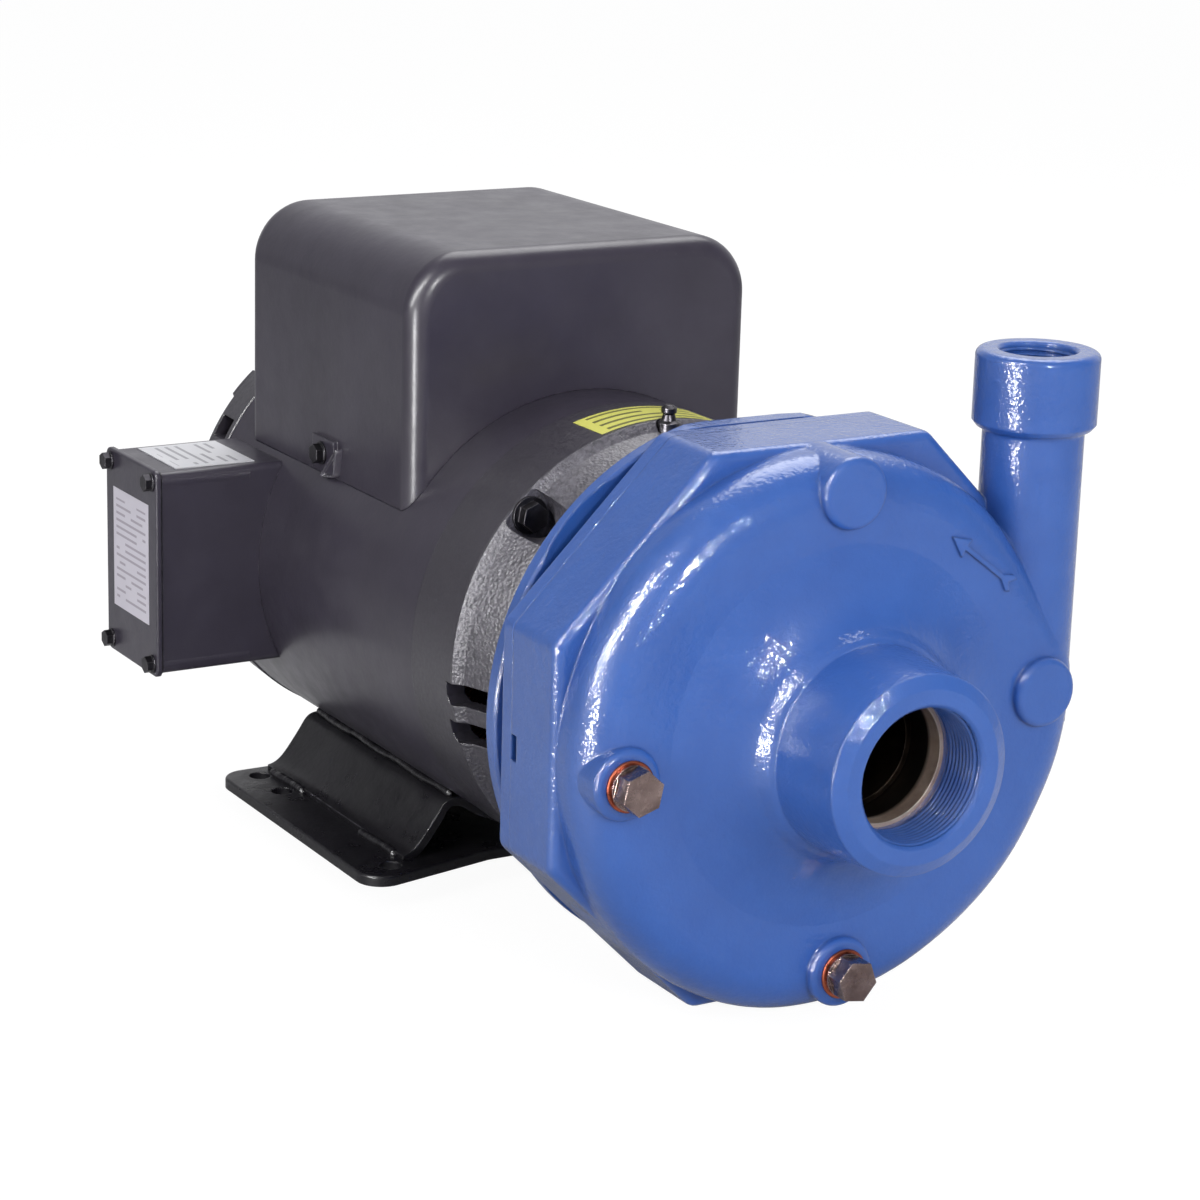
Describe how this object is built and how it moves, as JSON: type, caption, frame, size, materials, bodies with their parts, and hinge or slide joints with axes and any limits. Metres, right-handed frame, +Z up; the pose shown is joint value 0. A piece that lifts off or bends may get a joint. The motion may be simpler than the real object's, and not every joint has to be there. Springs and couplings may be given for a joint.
{
  "type": "centrifugal water pump",
  "caption": "Close-coupled end-suction centrifugal pump: blue cast volute and adapter on a foot-mounted open motor with capacitor cover and conduit box.",
  "frame": {"origin": "centre of the four-hole foot pattern on the underside of the base plate", "axes": "+Z up; +Y from the suction end to the rear of the motor along the shaft; +X to the discharge side; shaft axis 114.3 mm above the origin"},
  "size_m": [0.2908, 0.4875, 0.2874],
  "materials": {
    "pump_enamel": "glossy blue enamel over rough cast iron",
    "motor_enamel": "semi-gloss charcoal enamel on sheet steel",
    "shield_cast": "dark grey paint over textured casting",
    "base_enamel": "gloss black enamel on steel plate",
    "stainless": "turned stainless steel",
    "steel": "ground steel",
    "zinc_bolt": "zinc plated",
    "black_bolt": "black oxide",
    "bronze": "machined bronze",
    "copper_washer": "copper sealing washer",
    "black_rubber": "matt black",
    "seal_ceramic": "lapped ceramic",
    "lamination": "stacked electrical steel",
    "copper_winding": "varnished copper wire",
    "dark_plastic": "moulded",
    "capacitor_case": "phenolic case",
    "capacitor_can": "drawn can",
    "white_label": "printed film, left blank",
    "yellow_label": "printed film, left blank"
  },
  "bodies": {
    "frame": {"casing": "pump_enamel", "casing_wear_ring": "bronze", "vent_plug": "stainless", "vent_plug_washer": "copper_washer", "drain_plug": "stainless", "drain_plug_washer": "copper_washer", "adapter": "pump_enamel", "casing_gasket": "black_rubber", "casing_bolts": "zinc_bolt", "adapter_bolts": "zinc_bolt", "seal_seat_cup": "black_rubber", "seal_seat": "seal_ceramic", "start_switch_plate": "dark_plastic", "front_bearing_outer_race": "steel", "rear_bearing_outer_race": "steel", "wave_washer": "steel", "stator_core": "lamination", "stator_windings": "copper_winding", "motor_shell": "motor_enamel", "front_endshield": "shield_cast", "rear_endshield": "shield_cast", "through_bolts": "black_bolt", "grease_fitting": "zinc_bolt", "capacitor_cover": "motor_enamel", "capacitor_cover_screws": "black_bolt", "start_capacitor": "capacitor_case", "run_capacitor": "capacitor_can", "capacitor_clamps": "steel", "conduit_box": "motor_enamel", "conduit_cover_gasket": "black_rubber", "conduit_box_cover": "motor_enamel", "conduit_cover_screws": "black_bolt", "terminal_board": "dark_plastic", "cover_label": "white_label", "nameplate": "white_label", "shield_label": "yellow_label", "motor_base": "base_enamel", "base_saddle": "base_enamel"},
    "rotor": {"motor_shaft": "steel", "rotor_core": "lamination", "cooling_fan": "dark_plastic", "start_switch": "dark_plastic", "front_bearing_inner_race": "steel", "front_bearing_balls": "steel", "rear_bearing_inner_race": "steel", "rear_bearing_balls": "steel", "water_slinger": "black_rubber", "shaft_sleeve": "stainless", "seal_rotary_head": "black_rubber", "seal_spring": "stainless", "impeller": "bronze", "impeller_key": "steel", "impeller_washer": "stainless", "impeller_bolt": "stainless"}
  },
  "joints": [
    {"name": "shaft_spin", "type": "hinge", "parent": "frame", "child": "rotor", "pos_m": [0, 0, 0.1143], "axis": [0, -1, 0], "continuous": true}
  ]
}
